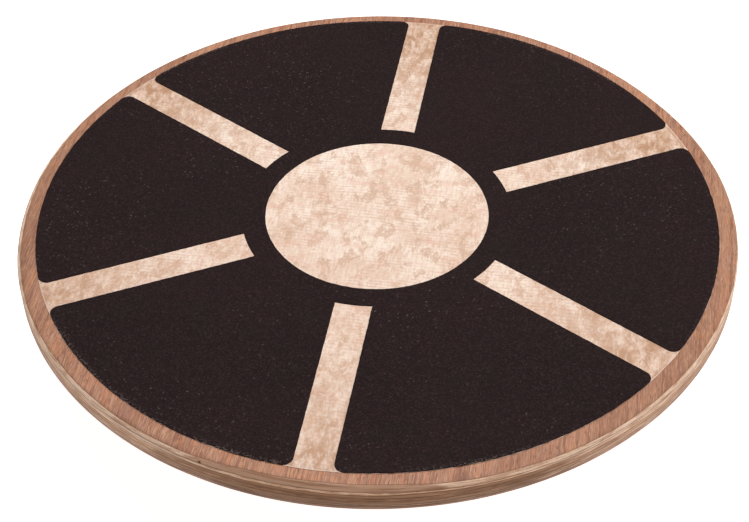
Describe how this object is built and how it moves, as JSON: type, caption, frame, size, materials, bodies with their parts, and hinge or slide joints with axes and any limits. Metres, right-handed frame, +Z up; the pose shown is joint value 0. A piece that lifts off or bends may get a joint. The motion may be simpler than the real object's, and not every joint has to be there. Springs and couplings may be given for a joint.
{
  "type": "balance board",
  "caption": "Round wooden balance board: plywood deck with a black anti-slip top and pale strips, on a domed rocker that tilts and turns in every direction.",
  "frame": {"origin": "lowest point of the rocker dome, on its axis, where the board meets the floor", "axes": "+Z up along the dome's axis, square to the deck; +Y along one pale strip; +X square to both"},
  "size_m": [0.3999, 0.4, 0.0768],
  "materials": {
    "face_veneer": "sanded, clear sealed",
    "cross_ply": "sanded edge",
    "long_ply": "sanded edge",
    "maple_film": "printed wood grain, satin",
    "black_grit": "gritty anti-slip coating",
    "black_plastic": "fine moulded texture",
    "black_rubber": "moulded rings",
    "zinc_steel": "zinc plated"
  },
  "bodies": {
    "root": {"bottom_face_veneer": "face_veneer", "core_ply_1": "cross_ply", "core_ply_2": "long_ply", "core_ply_3": "cross_ply", "core_ply_4": "long_ply", "core_ply_5": "cross_ply", "core_ply_6": "long_ply", "core_ply_7": "cross_ply", "top_face_veneer": "face_veneer", "pale_film": "maple_film", "grip_sheet": "black_grit", "rocker_dome": "black_plastic", "tread_cap": "black_rubber", "base_screws": "zinc_steel"}
  },
  "joints": []
}
